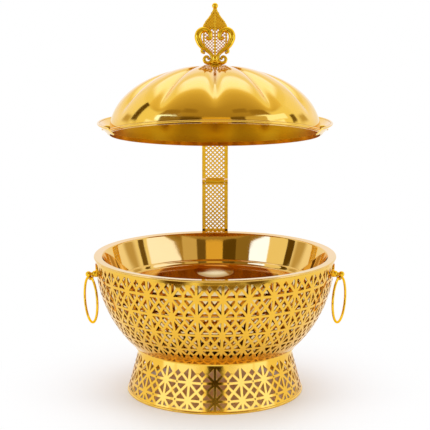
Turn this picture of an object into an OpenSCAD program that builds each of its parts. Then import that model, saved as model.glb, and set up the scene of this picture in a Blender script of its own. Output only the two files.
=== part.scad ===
/* [Foot] */
// How far the skirt's upper edge stands inside the bowl's base plate
foot_inset = 6.8; // [4:0.1:12]
// How far the hem wire's centre line stands outside the skirt's upper edge
foot_flare = 16.5; // [5:0.5:30]
// Height of the skirt's upper edge above the table
foot_height = 67; // [55:1:90]
// Sheet thickness of the skirt
foot_wall = 1.2; // [0.8:0.1:2]
// Diameter of the rolled hem wire
hem_wire = 4; // [3:0.5:6]
// Height ground off the hem's underside to make its flat resting face
hem_flat = 0.3; // [0.2:0.05:0.6]
// Number of star columns round the foot
foot_columns = 20; // [12:1:24]
// Distance from one star row to the next, up the slope
foot_row_pitch = 25.5; // [20:0.5:30]
// Distance of the lowest star hubs from the skirt's lower edge
foot_first_row = 14.7; // [10:0.1:20]
// Width of the lattice bars
foot_bar = 4; // [1.8:0.1:4.6]
// Width of the plain bands at the skirt's edges
foot_band = 3; // [2:0.5:6]
// Thickness of the collar plate
collar_t = 2; // [1.5:0.5:4]
// Radial width of the collar plate inside the skirt's upper edge
collar_width = 21.5; // [18:0.5:30]

/* [Bowl] */
// Outer radius of the pierced spherical shell
bowl_radius = 177.5; // [150:0.5:205]
// Height of the pierced shell
bowl_depth = 129.3; // [115:0.1:145]
// Height of the sphere's centre above the shell's upper edge
bowl_centre_rise = 1.2; // [0:0.1:4]
// Sheet thickness of the pierced shell
bowl_wall = 1.2; // [0.8:0.1:1.6]
// Thickness of the base plate under the shell
base_t = 1.5; // [1:0.1:3]
// Number of star columns round the bowl
bowl_columns = 30; // [18:1:32]
// Number of star rows on the bowl
bowl_rows = 4; // [2:1:4]
// Latitude of the first star row below the sphere's equator, degrees
star_first = 7.1; // [6.8:0.1:8]
// Latitude of the plain band under the lowest stars, degrees
star_margin = 2.6; // [1:0.1:5]
// Height of the plain band over the uppermost holes
top_band = 0.9; // [0.6:0.1:3]
// Turn of the star columns from the front, degrees
star_turn = 3.6; // [0:0.1:12]
// Width of the lattice bars
bowl_bar = 4; // [1.8:0.1:4.6]
// Height of the plain hoop over the shell
hoop_h = 3.6; // [3:0.1:6]
// Radial thickness of the hoop
hoop_t = 4.5; // [4:0.1:4.8]
// Height of the hoop's tab behind the arm's bracket
tab_h = 18; // [14:1:26]

/* [Pans] */
// Gap between the pierced shell and the liner
liner_gap = 3.8; // [3.4:0.1:4.2]
// Sheet thickness of the liner and the water pan
pan_wall = 0.8; // [0.6:0.1:1]
// Depth of the water pan under the hoop's top
water_depth = 63; // [50:1:75]
// How far the water pan narrows from its mouth to its floor, on the radius
water_slope = 24; // [20:0.1:40]
// How far the food pan's edge stands outside the bowl
pan_overhang = 2.5; // [2:0.1:12]
// Diameter of the food pan's rolled edge
pan_edge = 3.2; // [2.4:0.2:3.6]
// Width of the food pan's flange with its rolled edge
pan_flange = 12; // [11.8:0.1:14]
// How far the food pan narrows from its mouth to its floor, on the radius
pan_slope = 19.5; // [16:0.5:32]
// Depth of the food pan
pan_depth = 42; // [38:0.5:48]
// Radius of the bend between wall and floor
pan_bend = 4; // [3:0.5:8]
// Sheet thickness of the food pan
food_wall = 1; // [0.8:0.1:1.2]

/* [Burner] */
// Outer radius of the fuel cup
cup_radius = 36; // [28:1:46]
// Height of the fuel cup
cup_height = 44; // [30:1:50]
// Thickness of the cup's wall and of the locating ring
cup_wall = 1.5; // [1:0.1:2.5]

/* [Ring handles] */
// Angle of the lugs in front of the sides, degrees
lug_turn = 12; // [0:1:20]
// Height of the lug balls below the hoop's top
lug_drop = 19; // [16:0.5:26]
// Radius of the inner lug ball
lug_ball = 4.8; // [4.4:0.1:5.4]
// Radius of the outer lug ball
lug_knob = 4.3; // [3.6:0.1:5]
// Mean radius of the hanging ring
ring_radius = 33.6; // [28:0.2:38]
// Diameter of the ring's wire
ring_wire = 3.6; // [2.8:0.1:4.2]
// Turn of the hanging ring in its eye, toward the front, degrees
ring_turn = 9; // [0:1:10]
// Clearance round the ring's wire in the eye, on the radius
eye_clearance = 0.6; // [0.5:0.05:0.8]

/* [Folding arm] */
// Width of the arm over its rails
arm_width = 41.5; // [36:0.5:50]
// Width of a rail
rail_w = 5; // [4:0.5:6]
// Thickness of rails and cross bars
rail_t = 4; // [3:0.5:5]
// Distance between the hinge pins of one panel
link_length = 113.5; // [105:0.5:118]
// Height of the lowest pin below the hoop's top
base_pin_drop = 30.4; // [26:0.2:36]
// Distance of the pins behind the food pan's edge
pin_setback = 8; // [7:0.5:12]
// Radius of the hinge pins
pin_radius = 1.8; // [1.4:0.1:2.2]
// Radius of the hinge barrels
barrel_radius = 3.6; // [3.4:0.1:4.6]
// Running clearance of pins in their barrels, on the radius
pin_clearance = 0.05; // [0.02:0.01:0.1]
// Gap between neighbouring knuckles
knuckle_gap = 0.6; // [0.3:0.05:0.8]
// Height of the cross bars beside the knee
knee_bar = 1.2; // [1:0.1:3]
// Spacing of the diamond mesh
mesh_pitch = 6.9; // [5:0.1:9]
// Width of the mesh's strips
mesh_strip = 2; // [0.8:0.1:2.4]
// Thickness of the mesh sheet
mesh_t = 1.4; // [0.8:0.2:1.6]

/* [Lid cradle] */
// Gap between the dome and the cradle's inner edge
cradle_clearance = 5.6; // [5.2:0.1:7]
// Outer reach of the cradle's lip, measured on the radius
cradle_width = 9.7; // [8:0.1:9.8]
// Rise of the cradle from its inner edge to its lip
cradle_rise = 9.3; // [8:0.1:10]
// Sheet thickness of the cradle
cradle_t = 1.5; // [1.2:0.1:2]
// Diameter of the cradle's rolled lip
lip_wire = 3; // [2.4:0.1:3.4]
// How far the cradle's ends reach in front of the sides, degrees
cradle_reach = 28; // [20:1:36]
// Height of the cradle's lip above the arm's upper pins
lip_above_pin = 3.3; // [2:0.1:5]
// Radius of the pivot screws
pivot_radius = 2.2; // [1.8:0.1:2.4]
// Length of the lugs that hold the pivot screws
pivot_lug = 4; // [3:0.1:4.2]

/* [Lid] */
// Tilt of the opened lid, front up, degrees
lid_tilt = 13; // [8:0.5:14]
// Gap between the closed lid's dome and the food pan's mouth
lid_clearance = 13; // [12.6:0.1:18]
// Height of the dome above its base
dome_height = 95; // [80:1:110]
// Sheet thickness of the dome
dome_wall = 1.2; // [0.8:0.1:1.6]
// Number of flutes
flutes = 12; // [8:1:16]
// Depth of the creases between the flutes
flute_depth = 6.5; // [2:0.5:8]
// Height of the rim band under the dome
rim_h = 6; // [5:0.5:8]
// Reach of the rim's bead past the dome
rim_bead = 3; // [2:0.1:3.6]
// Height of the pivots above the lid's opening
pivot_height = 11; // [11:0.5:14]

/* [Finial] */
// Radius of the petal rosette
rosette_radius = 23.5; // [18:0.5:28]
// Number of petals
petals = 8; // [6:1:12]
// Height of the pierced leaf
leaf_h = 66.4; // [58:0.2:76]
// Half width of the leaf
leaf_w = 17.1; // [12:0.1:20]
// Thickness of the leaf
leaf_t = 1.6; // [1.2:0.2:2.4]
// Radius of the scrolls at their tips
scroll_tip = 1.5; // [1.2:0.1:1.8]
// Radius of the scrolls at their thickest place
scroll_full = 4.2; // [3:0.1:4.6]
// Radius of the ball on top
ball_radius = 4.4; // [3.4:0.2:5.4]
// Radius of the threaded stud
stud_radius = 3; // [2.5:0.1:3.5]

/* [Hidden] */
$fn = 96;

gold = "#E0AE3C";
amber = "#B9831F";
dark = "#4A3418";
eps = 0.01;
seat = 0.3;

fit = 0.05;

// Heights of the stacked pieces
skirt_z = hem_wire - hem_flat;
collar_z = foot_height;
base_z = collar_z + collar_t;
shell_z = base_z + base_t;
shell_top = shell_z + bowl_depth;
centre_z = shell_top + bowl_centre_rise;
rim_z = shell_top + hoop_h;
water_flange_z = rim_z + pan_wall;
food_flange_z = water_flange_z + pan_wall;
pan_top = food_flange_z + food_wall;

// Radii of the nested shells
pan_radius = bowl_radius + pan_overhang;
pan_mouth = pan_radius - pan_flange;
pan_floor_radius = pan_mouth - pan_slope;
hoop_radius = bowl_radius + 0.5;
hoop_bore = hoop_radius - hoop_t;
liner_radius = bowl_radius - bowl_wall - liner_gap;
liner_inner = liner_radius - pan_wall;
water_outer = liner_inner - 0.4;
water_floor_radius = water_outer - water_slope;
flange_reach = pan_radius - pan_edge - 0.2;
base_radius = ball_r(bowl_radius, shell_z);
foot_top_radius = base_radius - foot_inset;
foot_radius = foot_top_radius + foot_flare;
collar_bore = foot_top_radius - collar_width;
liner_floor_radius = ball_r(liner_radius, shell_z);
bolt_circle = (collar_bore + foot_top_radius - foot_wall) / 2 - 1.5;
bolt_radius = 2.5;
bolt_count = 4;
bolt_head = 3;

// Skirt cone
skirt_low = foot_radius + foot_wall / 2;
skirt_h = foot_height - skirt_z;
skirt_lean = atan2(skirt_low - foot_top_radius, skirt_h);
skirt_slant = norm([skirt_low - foot_top_radius, skirt_h]);
pinch = 0.312;
cut_depth = 16;
knot = 1.5;

// Star rows on the bowl, as latitudes below the sphere's equator
floor_lat = asin((centre_z - shell_z) / bowl_radius);
star_step = (floor_lat - star_margin - star_first) / bowl_rows;

// Ring handles
lug_z = rim_z - lug_drop;
lug_seat = ball_r(bowl_radius, lug_z);
plate_t = 1.5;
lug_ball_at = lug_seat + plate_t + lug_ball * 0.3;
eye_at = lug_ball_at + 6.6;
lug_knob_at = eye_at + 3;
eye_z = lug_z - 4.6;
eye_radius = ring_wire / 2 + eye_clearance;
eye_wall = 1.7;
eye_length = 5;
lug_bolt = 2;
nut_t = 2.4;

// Hinge axes of the folding arm
pin_y = pan_radius + pin_setback;
base_pin_z = rim_z - base_pin_drop;
knee_z = base_pin_z + link_length;
top_pin_z = knee_z + link_length;
rail_x = arm_width / 2 - rail_w;
panel_y = pin_y + 1.5;
barrel_half = rail_x - knuckle_gap;
bar_near = barrel_radius + 0.5;
bar_far = bar_near + rail_w;
knee_far = bar_near + knee_bar;
bracket_t = 3.5;
bracket_top = rim_z - 1.2;
screw_z = shell_top - tab_h / 2;
screw_bite = 5.2;
strap_t = 1.2;
strap_z = rim_z + 3;
strap_h = 5;
mesh_y = panel_y + strap_t;
rivet_radius = 1.5;
rivet_head = 2.2;

// Cradle and lid
dome_radius = pan_mouth - lid_clearance;
cradle_bore = dome_radius + cradle_clearance;
lip_z = top_pin_z + lip_above_pin;
cradle_z = lip_z - cradle_rise;
pivot_rise = 0.7;
pivot_z = cradle_z + pivot_rise;
lip_radius = cradle_bore + cradle_width;
strap_low = top_pin_z - 1.6;
pivot_near = cradle_bore + seat;
pivot_far = pivot_near + pivot_lug;
pivot_head = 0.8;
pivot_head_radius = pivot_radius + 0.9;
pivot_grip = 5;
boss_in = 4;
rivet_place = 0.65;
lid_z = -pivot_height;
boss_radius = pivot_radius + 2.4;
boss_clearance = 0.05;
dome_z = rim_h;
dome_top = dome_z + dome_height;
stud_fit = 0.3;
dome_hole = stud_radius + stud_fit;

// Finial heights above the lid's opening
rosette_t = 1.4;
rosette_z = dome_top + 0.1;
collar_low = rosette_z + rosette_t;
ring_r = 1.6;
finial_z = collar_low + 4 * ring_r;
leaf_z = finial_z + 12.6;
ball_z = leaf_z + leaf_h + ball_radius - 0.8;
stem_radius = 1.8;

// Radius of a sphere about the bowl's centre at height z
function ball_r(r, z) = sqrt(r * r - pow(z - centre_z, 2));

// Lines and insets of convex outlines that run anticlockwise
function unit(v) = v / norm(v);
function left_of(v) = [-v[1], v[0]];
function meet(p, u, q, w) =
    let (d = u[0] * w[1] - u[1] * w[0], r = q - p)
    p + u * ((r[0] * w[1] - r[1] * w[0]) / d);
function inset(poly, d) =
    let (n = len(poly))
    [for (i = [0 : n - 1])
        let (a = poly[(i + n - 1) % n], b = poly[i], c = poly[(i + 1) % n])
        let (u = unit(b - a), w = unit(c - b))
        meet(a + left_of(u) * d, u, b + left_of(w) * d, w)];
function flipped(p, sx, sy) =
    let (q = [for (v = p) [v[0] * sx, v[1] * sy]])
    sx * sy < 0 ? [for (i = [len(q) - 1 : -1 : 0]) q[i]] : q;

// Star lattice: holes beside a vertical spoke, round a hub, and midway between columns
module spoke_holes(w, h, bar) {
    k = pinch * w;
    for (s = [-1, 1])
        polygon(inset(flipped([[0, -h / 2], [k, 0], [0, h / 2]], s, 1), bar / 2));
}

module hub_holes(w, h, bar) {
    k = pinch * w;
    node_y = h * (k - w / 4) / k;
    corner = [[0, 0], [w / 2, 0], [w / 2, node_y], [k, h / 2]];
    for (s = [-1, 1], t = [-1, 1])
        polygon(inset(flipped(corner, s, t), bar / 2));
}

module lozenge_hole(w, h, bar) {
    k = pinch * w;
    half_w = w / 2 - k;
    half_h = h / 2 - h * (k - w / 4) / k;
    polygon(inset([[-half_w, 0], [0, -half_h], [half_w, 0], [0, half_h]], bar / 2));
}

module knot_hole() {
    polygon([[-knot, 0], [0, -knot], [knot, 0], [0, knot]]);
}

// Outlines drawn flat, stood against the skirt's slope and cut through it
module on_skirt(turn) {
    rotate([0, 0, turn - 90])
        translate([skirt_low, 0, skirt_z])
            rotate([0, -skirt_lean, 0])
                rotate([90, 0, 90])
                    translate([0, 0, -cut_depth / 2])
                        linear_extrude(cut_depth)
                            children();
}

module skirt_band() {
    translate([-foot_radius / 2, foot_band])
        square([foot_radius, skirt_slant - 2 * foot_band]);
}

// Outlines drawn flat and cut through the shell at a longitude and a latitude
module on_bowl(lon, lat) {
    translate([0, 0, centre_z])
        rotate([0, lat, lon - 90])
            translate([bowl_radius - cut_depth / 2, 0, 0])
                rotate([90, 0, 90])
                    linear_extrude(cut_depth)
                        children();
}

module ring_plate(r_in, r_out, z, t) {
    translate([0, 0, z])
        difference() {
            cylinder(r = r_out, h = t);
            translate([0, 0, -eps]) cylinder(r = r_in, h = t + 2 * eps);
        }
}

module bolt_places() {
    for (i = [0 : bolt_count - 1])
        rotate([0, 0, 45 + i * 360 / bolt_count])
            translate([bolt_circle, 0, 0])
                children();
}

module bolt_holes() {
    bolt_places() cylinder(r = bolt_radius + 0.1, h = shell_top);
}

// Foot
module foot_hem() {
    color(gold)
        rotate_extrude()
            intersection() {
                translate([foot_radius, hem_wire / 2 - hem_flat]) circle(d = hem_wire);
                translate([foot_radius - hem_wire, 0]) square(2 * hem_wire);
            }
}

module foot_skirt() {
    step = 360 / foot_columns;
    pitch = (skirt_low + foot_top_radius) / 2 * step * PI / 180;
    color(gold)
        difference() {
            translate([0, 0, skirt_z])
                cylinder(r1 = skirt_low, r2 = foot_top_radius, h = skirt_h);
            translate([0, 0, skirt_z - eps])
                cylinder(r1 = skirt_low - foot_wall, r2 = foot_top_radius - foot_wall, h = skirt_h + 2 * eps);
            for (i = [0 : foot_columns - 1]) {
                on_skirt(i * step)
                    intersection() {
                        skirt_band();
                        union() {
                            for (j = [0 : 1])
                                translate([0, foot_first_row + foot_row_pitch * j])
                                    hub_holes(pitch, foot_row_pitch, foot_bar);
                            for (j = [0 : 2])
                                translate([0, foot_first_row + foot_row_pitch * (j - 0.5)])
                                    spoke_holes(pitch, foot_row_pitch, foot_bar);
                        }
                    }
                on_skirt((i + 0.5) * step)
                    intersection() {
                        skirt_band();
                        union() {
                            for (j = [0 : 2])
                                translate([0, foot_first_row + foot_row_pitch * (j - 0.5)])
                                    lozenge_hole(pitch, foot_row_pitch, foot_bar);
                            for (j = [0 : 1])
                                translate([0, foot_first_row + foot_row_pitch * j])
                                    knot_hole();
                        }
                    }
            }
        }
}

module foot_collar() {
    color(gold)
        difference() {
            ring_plate(collar_bore, foot_top_radius + 1.5, collar_z, collar_t);
            bolt_holes();
        }
}

module base_screws() {
    color(dark)
        bolt_places()
            translate([0, 0, shell_z + pan_wall]) {
                cylinder(r = bolt_radius * 1.8, h = bolt_head);
                translate([0, 0, collar_z - shell_z - pan_wall - 5])
                    cylinder(r = bolt_radius, h = shell_z + pan_wall + 5 - collar_z);
            }
}

module base_nuts() {
    color(dark)
        bolt_places()
            translate([0, 0, collar_z - 4])
                difference() {
                    cylinder(r = bolt_radius * 1.8, h = 4, $fn = 6);
                    translate([0, 0, -eps]) cylinder(r = bolt_radius, h = 4 + 2 * eps);
                }
}

// Bowl: width of a star column at a latitude, and the part of an outline under the upper band
function star_width(lat) = bowl_radius * cos(lat) * 2 * PI / bowl_columns;

module under_band(lat, h) {
    top = (shell_top - top_band - centre_z + bowl_radius * sin(lat)) / cos(lat);
    intersection() {
        children();
        translate([-h, -h]) square([2 * h, h + top]);
    }
}

module bowl_base() {
    color(gold)
        difference() {
            translate([0, 0, base_z]) cylinder(r = base_radius, h = base_t);
            bolt_holes();
        }
}

module bowl_shell() {
    step = 360 / bowl_columns;
    row_h = bowl_radius * star_step * PI / 180;
    color(gold)
        difference() {
            intersection() {
                translate([0, 0, centre_z]) sphere(bowl_radius);
                translate([0, 0, shell_z]) cylinder(r = bowl_radius * 2, h = bowl_depth);
            }
            translate([0, 0, centre_z]) sphere(bowl_radius - bowl_wall);
            for (j = [0 : bowl_rows - 1], i = [0 : bowl_columns - 1]) {
                lat = star_first + star_step * j;
                on_bowl(star_turn + i * step, lat)
                    hub_holes(star_width(lat), row_h, bowl_bar);
            }
            for (j = [-1 : bowl_rows - 1], i = [0 : bowl_columns - 1]) {
                mid = star_first + star_step * (j + 0.5);
                on_bowl(star_turn + i * step, mid)
                    under_band(mid, row_h) spoke_holes(star_width(mid), row_h, bowl_bar);
                on_bowl(star_turn + (i + 0.5) * step, mid)
                    under_band(mid, row_h) lozenge_hole(star_width(mid), row_h, bowl_bar);
            }
            bracket_screw_holes();
            lug_bolt_holes();
        }
}

module bowl_hoop() {
    color(gold)
        difference() {
            union() {
                ring_plate(hoop_bore, hoop_radius, shell_top, hoop_h);
                hoop_tab();
            }
            bracket_screw_holes();
        }
}

module hoop_tab() {
    intersection() {
        translate([0, 0, centre_z])
            difference() {
                sphere(bowl_radius - bowl_wall - fit);
                sphere(liner_radius + fit);
            }
        translate([-barrel_half, 0, shell_top - tab_h])
            cube([2 * barrel_half, hoop_radius, tab_h + hoop_h / 2]);
    }
}

module inner_bowl() {
    color(amber)
        difference() {
            union() {
                intersection() {
                    translate([0, 0, centre_z]) sphere(liner_radius);
                    translate([0, 0, shell_z]) cylinder(r = bowl_radius * 2, h = rim_z - shell_z);
                }
                translate([0, 0, rim_z]) cylinder(r = flange_reach, h = pan_wall);
            }
            difference() {
                translate([0, 0, centre_z]) sphere(liner_inner);
                cylinder(r = bowl_radius, h = shell_z + pan_wall);
            }
            translate([0, 0, centre_z]) cylinder(r = liner_inner, h = rim_z);
            bolt_holes();
        }
}

module burner_ring() {
    color(dark)
        ring_plate(cup_radius + seat, cup_radius + seat + cup_wall, shell_z + pan_wall, 5);
}

module burner_cup() {
    color(gold)
        difference() {
            translate([0, 0, shell_z + pan_wall]) cylinder(r = cup_radius, h = cup_height);
            translate([0, 0, shell_z + pan_wall + cup_wall])
                cylinder(r = cup_radius - cup_wall, h = cup_height);
        }
}

module fuel_can() {
    low = shell_z + pan_wall + cup_wall;
    color("silver")
        difference() {
            translate([0, 0, low]) cylinder(r = cup_radius - cup_wall - seat, h = cup_height - 6);
            translate([0, 0, low + cup_height - 12]) cylinder(r = cup_radius / 2, h = cup_height);
        }
}

// A pan of revolution: flange, cone wall, round bend and flat floor
module pan_profile(mouth, floor_r, depth, wall, top, bend) {
    lean = atan2(mouth - floor_r - bend, depth - bend);
    difference() {
        union() {
            polygon([[0, top - depth - wall], [floor_r, top - depth - wall],
                     [floor_r + (bend + wall) * cos(lean), top - depth + bend - (bend + wall) * sin(lean)],
                     [mouth + wall, top], [0, top]]);
            translate([floor_r, top - depth + bend]) circle(r = bend + wall);
        }
        union() {
            polygon([[0, top - depth], [floor_r, top - depth],
                     [floor_r + bend * cos(lean), top - depth + bend - bend * sin(lean)],
                     [mouth, top + eps], [0, top + eps]]);
            translate([floor_r, top - depth + bend]) circle(r = bend);
        }
        translate([0, top]) square([mouth * 2, depth]);
    }
}

module water_pan() {
    color(amber) {
        rotate_extrude()
            polygon([[0, rim_z - water_depth], [water_floor_radius, rim_z - water_depth],
                     [water_outer, rim_z - 8], [water_outer, water_flange_z], [flange_reach, water_flange_z],
                     [flange_reach, food_flange_z], [water_outer - pan_wall, food_flange_z],
                     [water_outer - pan_wall, rim_z - 8],
                     [water_floor_radius - pan_wall, rim_z - water_depth + pan_wall],
                     [0, rim_z - water_depth + pan_wall]]);
    }
}

module food_pan() {
    edge_r = pan_radius - pan_edge / 2;
    color(gold)
        rotate_extrude() {
            pan_profile(pan_mouth, pan_floor_radius, pan_depth, food_wall, pan_top, pan_bend);
            translate([pan_mouth, food_flange_z]) square([edge_r - pan_mouth, food_wall]);
            translate([edge_r, rim_z + pan_edge / 2 + 0.1]) circle(d = pan_edge);
        }
}

// Ring handles: a point on a lug's radial axis, on the left (-1) or the right (1)
module at_lug(side, reach, z) {
    turn = side > 0 ? -lug_turn : 180 + lug_turn;
    rotate([0, 0, turn]) translate([reach, 0, z]) children();
}

module lug_bolt_holes() {
    for (side = [-1, 1])
        at_lug(side, lug_seat, lug_z)
            rotate([0, 90, 0]) cylinder(r = lug_bolt, h = 12, center = true);
}

module handle_plates() {
    leaf_long = 16;
    leaf_wide = 7;
    leaf_rise = 5;
    color(gold)
        difference() {
            intersection() {
                difference() {
                    translate([0, 0, centre_z]) sphere(bowl_radius + plate_t);
                    translate([0, 0, centre_z]) sphere(bowl_radius);
                }
                for (side = [-1, 1])
                    at_lug(side, lug_seat - 8, lug_z + leaf_rise)
                        rotate([90, 0, 90])
                            linear_extrude(16)
                                intersection() {
                                    translate([leaf_long - leaf_wide / 2, 0]) circle(r = leaf_long);
                                    translate([leaf_wide / 2 - leaf_long, 0]) circle(r = leaf_long);
                                }
            }
            lug_bolt_holes();
        }
}

module lug(side) {
    color(gold)
        difference() {
            union() {
                at_lug(side, lug_ball_at, lug_z) sphere(lug_ball);
                at_lug(side, lug_knob_at, lug_z) sphere(lug_knob);
                at_lug(side, lug_ball_at, lug_z)
                    rotate([0, 90, 0]) cylinder(r = lug_bolt + 0.6, h = lug_knob_at - lug_ball_at);
                at_lug(side, eye_at, eye_z)
                    rotate([90, 0, 0]) cylinder(r = eye_radius + eye_wall, h = eye_length, center = true);
                at_lug(side, lug_seat - bowl_wall - nut_t - 0.8, lug_z)
                    rotate([0, 90, 0]) cylinder(r = lug_bolt, h = lug_ball_at - lug_seat + 4);
            }
            at_lug(side, eye_at, eye_z)
                rotate([90, 0, 0]) cylinder(r = eye_radius, h = 3 * eye_length, center = true);
            difference() {
                translate([0, 0, centre_z]) sphere(bowl_radius + plate_t);
                at_lug(side, 0, lug_z) rotate([0, 90, 0]) cylinder(r = lug_bolt, h = bowl_radius * 2);
            }
        }
}

module left_lug() { lug(-1); }

module right_lug() { lug(1); }

module lug_nuts() {
    color(dark)
        for (side = [-1, 1])
            at_lug(side, lug_seat - bowl_wall - nut_t - 0.4, lug_z)
                rotate([0, 90, 0])
                    difference() {
                        cylinder(r = lug_bolt * 1.9, h = nut_t, $fn = 6);
                        translate([0, 0, -eps]) cylinder(r = lug_bolt, h = nut_t + 2 * eps);
                    }
}

module ring(side) {
    color(gold)
        at_lug(side, eye_at, eye_z - ring_radius)
            rotate([0, 90, -side * ring_turn])
                rotate_extrude()
                    translate([ring_radius, 0]) circle(d = ring_wire);
}

module left_ring() { ring(-1); }

module right_ring() { ring(1); }

// Folding arm: shapes along the X axis of a hinge at height z
module along_x(z, half, r) {
    translate([-half, pin_y, z]) rotate([0, 90, 0]) cylinder(r = r, h = 2 * half);
}

module pin_bore(z) {
    along_x(z, arm_width, pin_radius + pin_clearance);
}

module hinge_pin(z) {
    color(dark) along_x(z, arm_width / 2, pin_radius);
}

// An eye at the end of each rail, with its neck; up is 1 where the rail stands above the pin
module rail_eyes(z, up) {
    for (side = [-1, 1])
        translate([side * (rail_x + rail_w / 2), pin_y, z]) {
            rotate([0, 90, 0]) cylinder(r = barrel_radius, h = rail_w, center = true);
            translate([-rail_w / 2, 0, up > 0 ? 0 : -bar_near])
                cube([rail_w, panel_y - pin_y + rail_t, bar_near]);
        }
}

module cross_bar(z, h) {
    translate([-arm_width / 2, panel_y, z]) cube([arm_width, rail_t, h]);
}

module rails(z0, z1) {
    for (side = [-1, 1])
        translate([side > 0 ? rail_x : -rail_x - rail_w, panel_y, z0])
            cube([rail_w, rail_t, z1 - z0]);
}

module arm_mesh(z0, z1) {
    half = mesh_pitch / 2 - mesh_strip / sqrt(2);
    across = ceil(rail_x / mesh_pitch) + 1;
    rows = ceil((z1 - z0) / mesh_pitch);
    color(gold)
        translate([0, mesh_y + mesh_t, 0])
            rotate([90, 0, 0])
                linear_extrude(mesh_t)
                    difference() {
                        translate([-rail_x, z0]) square([2 * rail_x, z1 - z0]);
                        for (i = [-across : across], j = [0 : rows], k = [0, 0.5])
                            translate([(i + k) * mesh_pitch, z0 + (j + k) * mesh_pitch])
                                polygon([[-half, 0], [0, -half], [half, 0], [0, half]]);
                    }
}

module rivet_places(z) {
    for (side = [-1, 1])
        translate([side * (rail_x + rail_w / 2), panel_y, z])
            rotate([90, 0, 0])
                children();
}

module rivets_at(z) {
    color(dark)
        rivet_places(z) {
            translate([0, 0, -rail_t]) cylinder(r = rivet_radius, h = rail_t);
            cylinder(r = rivet_head, h = 1);
        }
}

module rivet_bores(z) {
    rivet_places(z) translate([0, 0, -rail_t - 1]) cylinder(r = rivet_radius + fit, h = rail_t + 2);
}

module bracket_screw_places() {
    for (side = [-1, 1])
        translate([side * barrel_half / 2, hoop_radius, screw_z])
            rotate([-90, 0, 0])
                children();
}

module bracket_screw_holes() {
    bracket_screw_places() cylinder(r = rivet_radius + fit, h = hoop_t * 4, center = true);
}

module arm_bracket() {
    low = base_pin_z - barrel_radius;
    back = hoop_radius + bracket_t;
    pad_depth = 8;
    color(gold)
        difference() {
            union() {
                translate([-barrel_half, hoop_radius - pad_depth, low])
                    cube([2 * barrel_half, bracket_t + pad_depth, bracket_top - low]);
                translate([-barrel_half, back - eps, low])
                    cube([2 * barrel_half, pin_y - back + eps, 2 * barrel_radius]);
                along_x(base_pin_z, barrel_half, barrel_radius);
            }
            translate([0, 0, low - eps]) cylinder(r = hoop_radius, h = rim_z, $fn = 720);
            pin_bore(base_pin_z);
            bracket_screw_holes();
        }
}

module bracket_screws() {
    color(dark)
        bracket_screw_places() {
            translate([0, 0, -screw_bite]) cylinder(r = rivet_radius, h = screw_bite + bracket_t + eps);
            translate([0, 0, bracket_t]) cylinder(r = rivet_radius * 1.9, h = 1.4);
        }
}

module base_hinge_pin() { hinge_pin(base_pin_z); }

module knee_pin() { hinge_pin(knee_z); }

module lid_hinge_pin() { hinge_pin(top_pin_z); }

module lower_frame() {
    color(gold)
        difference() {
            union() {
                rails(base_pin_z + bar_near, knee_z - bar_near);
                rail_eyes(base_pin_z, 1);
                rail_eyes(knee_z, -1);
                cross_bar(base_pin_z + bar_near, rail_w);
                cross_bar(knee_z - knee_far, knee_bar);
                translate([-arm_width / 2, panel_y, strap_z - strap_h / 2])
                    cube([arm_width, strap_t, strap_h]);
            }
            pin_bore(base_pin_z);
            pin_bore(knee_z);
            rivet_bores(strap_z);
        }
}

module lower_mesh() { arm_mesh(base_pin_z + bar_far, knee_z - knee_far); }

module lower_rivets() { rivets_at(strap_z); }

module upper_frame() {
    color(gold)
        difference() {
            union() {
                rails(knee_z + bar_near, top_pin_z - bar_near);
                rail_eyes(top_pin_z, -1);
                cross_bar(knee_z + bar_near, knee_bar);
                cross_bar(top_pin_z - bar_far, rail_w);
                along_x(knee_z, barrel_half, barrel_radius);
                translate([-barrel_half, pin_y, knee_z])
                    cube([2 * barrel_half, panel_y - pin_y + rail_t, bar_near + eps]);
            }
            pin_bore(knee_z);
            pin_bore(top_pin_z);
            rivet_bores(top_pin_z - bar_near - rail_w / 2);
        }
}

module upper_mesh() { arm_mesh(knee_z + knee_far, top_pin_z - bar_far); }

module upper_rivets() { rivets_at(top_pin_z - bar_near - rail_w / 2); }

// Lid cradle: a level horseshoe with a rolled lip, open at the front
module cradle_section(extra) {
    run = unit([cradle_width, cradle_rise]);
    under = [run[1], -run[0]] * cradle_t;
    polygon([[cradle_bore, cradle_z], [lip_radius, lip_z], [lip_radius, lip_z] + under,
             [cradle_bore, cradle_z] + under]);
    translate([lip_radius, lip_z] + under / 2) circle(d = lip_wire);
    if (extra)
        polygon([[cradle_bore, cradle_z] + under, [lip_radius, lip_z] + under, [lip_radius, lip_z * 2],
                 [0, lip_z * 2], [0, cradle_z]]);
}

module pivot_places() {
    for (side = [-1, 1])
        translate([0, 0, pivot_z]) rotate([0, side * 90, 0]) children();
}

module cradle_rivet_places() {
    for (side = [-1, 1])
        translate([side * barrel_half / 2, cradle_bore + cradle_width * rivet_place, 0])
            children();
}

module lid_cradle() {
    color(gold)
        difference() {
            union() {
                rotate([0, 0, -cradle_reach])
                    rotate_extrude(angle = 180 + 2 * cradle_reach)
                        cradle_section(false);
                pivot_places()
                    translate([0, 0, pivot_near])
                        cylinder(r = pivot_radius + 1.3, h = pivot_lug);
            }
            pivot_places() cylinder(r = pivot_radius + fit, h = lip_radius * 1.2);
            pivot_places() translate([0, 0, pivot_far]) cylinder(r = pivot_head_radius + fit, h = lip_radius);
            cradle_rivet_places() cylinder(r = rivet_radius + fit, h = lip_z * 2);
        }
}

module cradle_bracket() {
    front = cradle_bore + cradle_width * 0.4;
    color(gold)
        difference() {
            union() {
                translate([-barrel_half, front, strap_low])
                    cube([2 * barrel_half, pin_y - front, top_pin_z + barrel_radius - strap_low]);
                along_x(top_pin_z, barrel_half, barrel_radius);
            }
            rotate_extrude() cradle_section(true);
            pin_bore(top_pin_z);
            cradle_rivet_places() cylinder(r = rivet_radius + fit, h = lip_z * 2);
        }
}

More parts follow.
